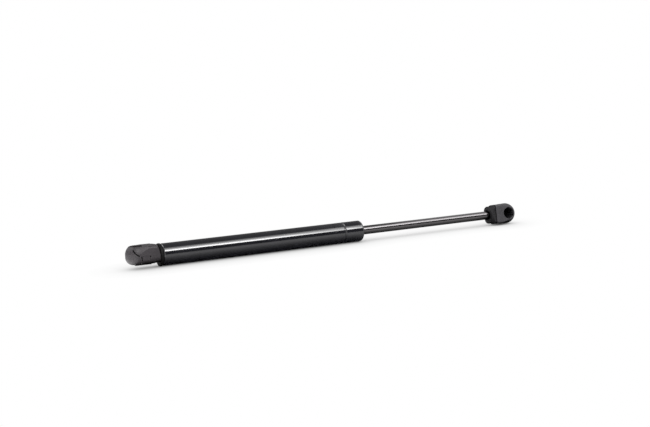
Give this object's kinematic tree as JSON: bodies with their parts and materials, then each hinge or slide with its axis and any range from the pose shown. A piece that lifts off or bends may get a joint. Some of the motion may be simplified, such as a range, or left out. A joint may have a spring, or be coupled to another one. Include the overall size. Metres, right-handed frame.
{
  "type": "gas strut stay",
  "caption": "Gas spring stay: black pressure tube with a sliding steel rod and a plastic ball socket with a wire retaining clip at each end.",
  "frame": {"origin": "centre of the ball in the base socket, on the strut axis", "axes": "+X along the strut from the tube towards the rod, +Z out of the base socket's mouth"},
  "size_m": [0.3865, 0.0204, 0.0203],
  "materials": {
    "tube_paint": "smooth black paint",
    "plug_black": "black coating",
    "rubber_black": "matt",
    "plated_steel": "zinc plated",
    "socket_plastic": "fine moulded grain",
    "spring_steel": "dark spring wire",
    "guide_plastic": "moulded",
    "bush_bronze": "sintered",
    "ring_plastic": "smooth",
    "rod_steel": "ground and darkened",
    "piston_alloy": "turned"
  },
  "bodies": {
    "cylinder": {"pressure_tube": "tube_paint", "base_plug": "plug_black", "base_plug_seal": "rubber_black", "base_stud": "plated_steel", "base_socket": "socket_plastic", "seal_washer": "plated_steel", "rod_seal": "rubber_black", "rod_guide": "guide_plastic", "guide_bush": "bush_bronze", "closing_washer": "plated_steel"},
    "base_clip": {"base_clip": "spring_steel"},
    "piston_ring": {"piston_ring": "ring_plastic"},
    "rod": {"piston_rod": "rod_steel", "stop_sleeve": "guide_plastic", "support_washer": "plated_steel", "piston": "piston_alloy", "metering_disc": "plated_steel", "piston_nut": "plated_steel", "rod_socket": "socket_plastic"},
    "rod_clip": {"rod_clip": "spring_steel"}
  },
  "joints": [
    {"name": "rod_slide", "type": "slide", "parent": "cylinder", "child": "piston_ring", "axis": [1, 0, 0], "range_m": [-0.13, 0], "stiffness_N_per_m": 400, "springref_m": 0.4},
    {"name": "rod_spin", "type": "hinge", "parent": "piston_ring", "child": "rod", "pos_m": [0, 0, 0], "axis": [1, 0, 0], "continuous": true},
    {"name": "base_clip_pull", "type": "slide", "parent": "cylinder", "child": "base_clip", "axis": [0, 0, -1], "range_m": [0, 0.0033]},
    {"name": "rod_clip_pull", "type": "slide", "parent": "rod", "child": "rod_clip", "axis": [0, 0.9877, -0.1564], "range_m": [0, 0.0033]}
  ]
}
